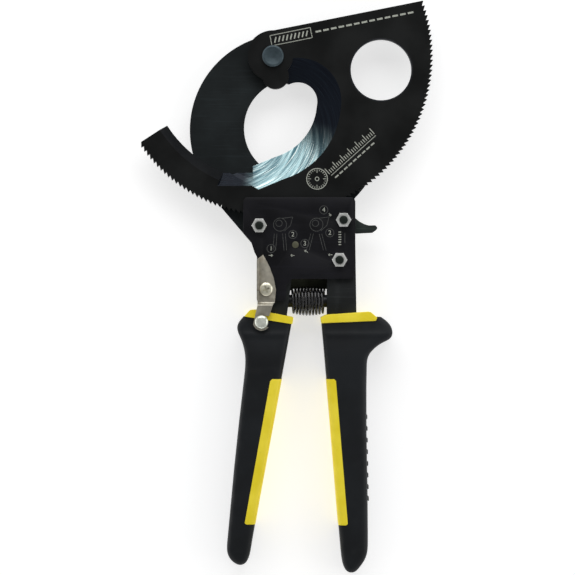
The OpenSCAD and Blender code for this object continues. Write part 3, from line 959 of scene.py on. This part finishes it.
class CUTTER_OT_latch(bpy.types.Operator):
    """Press the latch from sheet, and make its screw and stud"""

    bl_idname = "cutter.latch"
    bl_label = "Latch"

    def execute(self, context):
        z0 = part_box("latch_lever")[0][2] / MM
        sheet = 1.4
        arm = 1.8
        sx, sy = SCREW.x / MM, SCREW.y / MM
        tx, ty = STUD.x / MM, STUD.y / MM
        slot = 2.35
        plate = [(-5.4, 17.9), (-1.7, 20.6), (2.1, 13.4), (4.5, 6.9), (5.9, -0.4), (5.2, -7.9), (4.4, -8.6)]
        outline = [(sx + x, sy + y) for x, y in plate]
        outline += [(tx + 4.6, ty + 3.6), (tx - 0.5, ty + 3.6)]
        outline += arc(tx, ty, slot, 120, 270, 12)
        outline += arc(tx, ty, 5.2, -36, -164, 18)
        outline += [(sx - 4.9, sy - 8.6), (sx - 5.4, sy - 6.6)]
        bm = bmesh.new()
        slab(bm, outline, z0, z0 + sheet)
        slice_across(bm, [sy - 7.6 - i * 0.3 for i in range(9)])
        for v in bm.verts:
            v.co.z += arm * smoothstep((sy - 7.6 - v.co.y) / 2.2)
        bmesh.ops.recalc_face_normals(bm, faces=bm.faces)
        bm.normal_update()
        walls = [e for e in bm.edges if e.calc_face_angle(0) > math.radians(60)]
        bmesh.ops.bevel(
            bm,
            geom=walls,
            offset=0.25,
            offset_type="OFFSET",
            affect="EDGES",
            segments=2,
            profile=0.5,
            material=-1,
            clamp_overlap=True,
        )
        flange = [(-5.6, 17.6), (-4.2, 18.6), (-4.2, -6.2), (-5.6, -6.6)]
        folded = plank([(sx + x, sy + y) for x, y in flange], z0, z0 + 4.5, 0.35, 0.45)
        mesh = bpy.data.meshes.new("fold")
        folded.to_mesh(mesh)
        folded.free()
        bm.from_mesh(mesh)
        keep("latch_pressed", bm, "latch", latch_plate(), ["latch_lever"], 40)
        self.screw(sx, sy)
        self.stud(tx, ty)
        return {"FINISHED"}

    def screw(self, x, y):
        """Pan head with a cross recess."""
        low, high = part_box("latch_screw")
        crown, foot = high[2] / MM, low[2] / MM
        bm = bmesh.new()
        dome = [(4.0 * math.cos(a), crown - 1.1 + 1.1 * math.sin(a)) for a in (0.2, 0.5, 0.8, 1.1, 1.35)]
        profile = [(0, crown)] + dome[::-1] + [(4, crown - 1.3), (4, crown - 2.0), (2.5, crown - 2.0)]
        profile += [(2.5, foot + 3), (2, foot + 3), (2, foot), (0, foot)]
        turned(bm, profile, x, y)
        screw = keep("latch_screw_turned", bm, "frame", latch_screw_steel(), ["latch_screw"])
        recess = bmesh.new()
        for turn in (20, 110):
            box = bmesh.ops.create_cube(recess, size=1)["verts"]
            bmesh.ops.scale(recess, vec=(4.2 * MM, 0.95 * MM, 2.4 * MM), verts=box)
            bmesh.ops.rotate(recess, matrix=Matrix.Rotation(math.radians(turn), 3, "Z"), verts=box)
            bmesh.ops.translate(recess, vec=(x * MM, y * MM, crown * MM), verts=box)
        cut_away(screw, recess)

    def stud(self, x, y):
        low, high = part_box("latch_stud")
        crown, foot = high[2] / MM, low[2] / MM
        bm = bmesh.new()
        turns = (0.1, 0.35, 0.6, 0.85, 1.1, 1.35)
        dome = [(4.0 * math.cos(a), crown - 1.4 + 1.4 * math.sin(a)) for a in turns]
        profile = [(0, crown)] + dome[::-1] + [(4, crown - 1.5), (3.85, crown - 1.7), (2, crown - 1.7)]
        profile += [(2, foot), (0, foot)]
        turned(bm, profile, x, y)
        keep("latch_stud_turned", bm, "handle", stud_steel(), ["latch_stud"])


def cut_away(piece, cutter):
    """Cuts a bmesh's shape out of a finished piece."""
    mesh = bpy.data.meshes.new("cutter")
    cutter.to_mesh(mesh)
    cutter.free()
    tool = bpy.data.objects.new("cutter", mesh)
    bpy.context.scene.collection.objects.link(tool)
    cut = piece.modifiers.new("recess", "BOOLEAN")
    cut.operation = "DIFFERENCE"
    cut.solver = "EXACT"
    cut.use_self = True
    cut.object = tool
    bpy.context.view_layer.update()
    graph = bpy.context.evaluated_depsgraph_get()
    piece.data = bpy.data.meshes.new_from_object(piece.evaluated_get(graph))
    piece.modifiers.clear()
    bpy.data.objects.remove(tool)


# ---------- markings ----------


def strip(bm, x0, y0, x1, y1, width, z):
    """A thin straight mark."""
    along = Vector((x1 - x0, y1 - y0))
    side = Vector((-along.y, along.x)).normalized() * width / 2
    corners = [
        (x0 - side.x, y0 - side.y),
        (x1 - side.x, y1 - side.y),
        (x1 + side.x, y1 + side.y),
        (x0 + side.x, y0 + side.y),
    ]
    slab(bm, corners, z, z + sizes().mark_lift / MM)


def ring(bm, x, y, r, width, z, steps=36):
    """A thin round mark."""
    lift = sizes().mark_lift / MM
    inner, outer = r - width / 2, r + width / 2
    profile = [(inner, z), (outer, z), (outer, z + lift), (inner, z + lift), (inner, z)]
    turned(bm, profile, x, y, steps)


def digit(bm, text, x, y, height, z):
    """A plain number, for the order of use."""
    curve = bpy.data.curves.new("digit", "FONT")
    curve.body = text
    curve.size = height
    curve.align_x = "CENTER"
    curve.align_y = "CENTER"
    curve.resolution_u = 3
    curve.extrude = sizes().mark_lift / MM / 2
    holder = bpy.data.objects.new("digit", curve)
    bpy.context.scene.collection.objects.link(holder)
    bpy.context.view_layer.update()
    mesh = bpy.data.meshes.new_from_object(holder.evaluated_get(bpy.context.evaluated_depsgraph_get()))
    mesh.transform(Matrix.Translation((x, y, z + sizes().mark_lift / MM / 2)))
    bm.from_mesh(mesh)
    bpy.data.objects.remove(holder)


def arrow(bm, x, y, length, turn, z):
    """A small arrow that points along turn, in degrees."""
    a = math.radians(turn)
    tip = (x + length * math.cos(a), y + length * math.sin(a))
    strip(bm, x, y, *tip, 0.35, z)
    for bend in (150, -150):
        b = a + math.radians(bend)
        strip(bm, *tip, tip[0] + 1.3 * math.cos(b), tip[1] + 1.3 * math.sin(b), 0.35, z)


class CUTTER_OT_markings(bpy.types.Operator):
    """Etch plain rules on the blade and numbered arrows on the frame"""

    bl_idname = "cutter.markings"
    bl_label = "Markings"

    def execute(self, context):
        self.blade_marks()
        self.plate_marks()
        return {"FINISHED"}

    def blade_marks(self):
        z = top("moving_blade") / MM
        bm = bmesh.new()
        slope = math.radians(11.4)

        def along(s, out):
            """A point s along the blade's top edge and out above the line of marks."""
            return (
                -0.6 + s * math.cos(slope) - out * math.sin(slope),
                6.2 + s * math.sin(slope) + out * math.cos(slope),
            )

        box = [along(0, 0), along(24.6, 0), along(24.6, 6.2), along(0, 6.2)]
        for a, b in zip(box, box[1:] + box[:1]):
            strip(bm, *a, *b, 0.42, z)
        # Hatching where a caution panel would stand
        for i in range(9):
            strip(bm, *along(2 + i * 2.4, 1.5), *along(3.4 + i * 2.4, 4.7), 0.8, z)
        # Broken rule beside the panel
        for i in range(13):
            s = 27.2 + i * 4.7
            strip(bm, *along(s, 3), *along(s + 3.4, 3), 1.1, z)
        self.depth_scale(bm, z)
        keep("blade_marks", bm, "blade", etched_mark(), sharp=40)

    def depth_scale(self, bm, z):
        """A plain graduated rule and a round gauge on the wide part of the blade."""
        start, run = Vector((34.8, -71.6)), Vector((math.cos(math.radians(42)), math.sin(math.radians(42))))
        side = Vector((-run.y, run.x))

        def mark(s0, t0, s1, t1, width):
            a, b = start + run * s0 + side * t0, start + run * s1 + side * t1
            strip(bm, a.x, a.y, b.x, b.y, width, z)

        mark(0, 0, 36, 0, 0.4)
        for i in range(25):
            mark(i * 1.5, 1.2, i * 1.5, 5.6 if i % 4 == 0 else 3.6, 0.5)
        for i in range(9):
            mark(1 + i * 3.6, -2.6, 3.6 + i * 3.6, -2.6, 0.9)
        x, y = 26.4, -73.5
        ring(bm, x, y, 6.2, 0.5, z, 64)
        ring(bm, x, y, 1.1, 0.45, z)
        for i in range(24):
            a = TAU * i / 24
            inner = 3.6 if i % 6 == 0 else 4.7
            c, d = math.cos(a), math.sin(a)
            strip(bm, x + inner * c, y + inner * d, x + 5.6 * c, y + 5.6 * d, 0.4, z)

    def plate_marks(self):
        z = top("front_plate") / MM
        bold = bmesh.new()
        faint = bmesh.new()
        for text, x, y in (
            ("1", -1.1, -115.3),
            ("2", 11.9, -106.9),
            ("3", 19.1, -112.3),
            ("2", 34, -105.9),
            ("4", 30.4, -92.2),
        ):
            ring(faint, x, y, 2.45, 0.28, z)
            digit(bold, text, x, y, 3.9, z)
        for x, y, length, turn in (
            (-2.6, -119.4, 2.6, 0),
            (13, -119.4, 2.6, 180),
            (21, -117.6, 2.6, 150),
            (35.6, -119, 2.6, 180),
            (33.4, -94.2, 2.2, -50),
        ):
            arrow(bold, x, y, length, turn, z)
        # Plain ladder beside the upper nut
        for i in range(6):
            strip(bold, 39.2, -105.4 - i * 1.5, 40.8, -105.4 - i * 1.5, 0.6, z)
        strip(faint, 43, -106, 43, -112, 0.3, z)
        # Outline of the tool, shut and open
        for x, y, spread in ((4.2, -101, 0.8), (26, -101, 2.6)):
            ring(faint, x, y, 3.9, 0.26, z)
            ring(faint, x - 0.6, y + 0.8, 1.9, 0.24, z)
            strip(faint, x + 1, y + 3.7, x + 7.6, y + 4.6, 0.24, z)
            strip(faint, x + 7.6, y + 4.6, x + 6.2, y - 0.6, 0.24, z)
            strip(faint, x + 6.2, y - 0.6, x + 2.6, y - 3.8, 0.24, z)
            for near in (-2.6, 2.4):
                lean = spread * (1 if near > 0 else -1)
                strip(faint, x + near - 0.8, y - 5.4, x + near - 0.8 + lean, y - 15.4, 0.24, z)
                strip(faint, x + near + 0.8, y - 5.4, x + near + 0.8 + lean, y - 15.4, 0.24, z)
        keep("plate_digits", bold, "frame", etched_mark(), sharp=40)
        keep("plate_diagrams", faint, "frame", faint_mark(), sharp=40)


@material
def faint_mark():
    s = Shader("faint_mark")
    speck = s.noise(2400, 3)
    base = s.mix(s.ramp(speck, 0.35, 0.62), (0.035, 0.038, 0.036, 1), (0.10, 0.105, 0.10, 1))
    return s.finish(Base_Color=base, Roughness=speck * 0.2 + 0.5, Normal=s.bump(speck, 0.1, 0.00005))


# ---------- stage ----------


def lamp(name, place, aim, width, height, power):
    """A soft box that faces a point."""
    light = bpy.data.lights.new(name, "AREA")
    light.shape = "RECTANGLE"
    light.size = width
    light.size_y = height
    light.energy = power
    box = bpy.data.objects.new(name, light)
    box.location = place
    box.rotation_mode = "QUATERNION"
    box.rotation_quaternion = (Vector(aim) - Vector(place)).to_track_quat("-Z", "Y")
    bpy.context.scene.collection.objects.link(box)


class CUTTER_OT_stage(bpy.types.Operator):
    """Lay the floor, hang the lights and set the camera over the tool"""

    bl_idname = "cutter.stage"
    bl_label = "Stage"

    def execute(self, context):
        scene = context.scene
        bm = bmesh.new()
        bmesh.ops.create_grid(bm, x_segments=2, y_segments=2, size=3)
        mesh = bpy.data.meshes.new("floor")
        bm.to_mesh(mesh)
        bm.free()
        mesh.materials.append(floor_white())
        floor = bpy.data.objects.new("floor", mesh)
        scene.collection.objects.link(floor)
        aim = (0.0087, -0.1386, 0.015)
        lamp("key_box", (0.0, 1.3, 1.1), aim, 2.2, 1.2, 20)
        lamp("right_box", (1.6, -0.1, 1.1), aim, 1.6, 1.0, 6.5)
        lamp("left_strip", (-1.8, -0.3, 0.45), aim, 1.6, 0.6, 5)
        lamp("front_strip", (0.0, -1.9, 0.45), aim, 1.6, 0.6, 5)
        world = bpy.data.worlds.new("studio")
        world.use_nodes = True
        tree = world.node_tree
        background = tree.nodes["Background"]
        # Dark overhead, so that flat black faces stay black, and pale towards the horizon
        place = tree.nodes.new("ShaderNodeTexCoord")
        split = tree.nodes.new("ShaderNodeSeparateXYZ")
        fade = tree.nodes.new("ShaderNodeMapRange")
        for socket, value in zip(fade.inputs[1:5], (0.1, 0.9, 0.75, 0.12)):
            socket.default_value = value
        tree.links.new(place.outputs["Generated"], split.inputs[0])
        tree.links.new(split.outputs[2], fade.inputs[0])
        tree.links.new(fade.outputs[0], background.inputs["Strength"])
        background.inputs["Color"].default_value = (1, 1, 1, 1)
        scene.world = world
        scene.view_settings.view_transform = "Standard"
        data = bpy.data.cameras.new("camera")
        data.lens = 200
        data.sensor_width = 36
        data.clip_end = 20
        camera = bpy.data.objects.new("camera", data)
        reach = 0.345 * data.lens / data.sensor_width
        camera.location = (aim[0], aim[1], aim[2] + reach)
        scene.collection.objects.link(camera)
        scene.camera = camera
        return {"FINISHED"}


# ---------- panel and running ----------

STEPS = (
    CUTTER_OT_stage,
    CUTTER_OT_blades,
    CUTTER_OT_pivot,
    CUTTER_OT_frame,
    CUTTER_OT_fasteners,
    CUTTER_OT_grips,
    CUTTER_OT_spring,
    CUTTER_OT_latch,
    CUTTER_OT_markings,
)


class CUTTER_PT_panel(bpy.types.Panel):
    """Lists the cutter's steps, sizes and colours"""

    bl_idname = "CUTTER_PT_panel"
    bl_label = "Cable cutter"
    bl_space_type = "VIEW_3D"
    bl_region_type = "UI"
    bl_category = "Cutter"

    def draw(self, context):
        layout = self.layout
        for step in STEPS:
            layout.operator(step.bl_idname)
        for group in (context.scene.cutter_sizes, context.scene.cutter_colours):
            box = layout.box()
            for key in group.__annotations__:
                box.prop(group, key)


CLASSES = (CutterSizes, CutterColours, *STEPS, CUTTER_PT_panel)


def register():
    for cls in CLASSES:
        bpy.utils.register_class(cls)
    bpy.types.Scene.cutter_sizes = PointerProperty(type=CutterSizes)
    bpy.types.Scene.cutter_colours = PointerProperty(type=CutterColours)


def unregister():
    del bpy.types.Scene.cutter_sizes
    del bpy.types.Scene.cutter_colours
    for cls in reversed(CLASSES):
        bpy.utils.unregister_class(cls)


def main():
    """Builds every piece in order."""
    register()
    for step in STEPS:
        group, name = step.bl_idname.split(".")
        getattr(getattr(bpy.ops, group), name)()


if __name__ == "__main__":
    main()
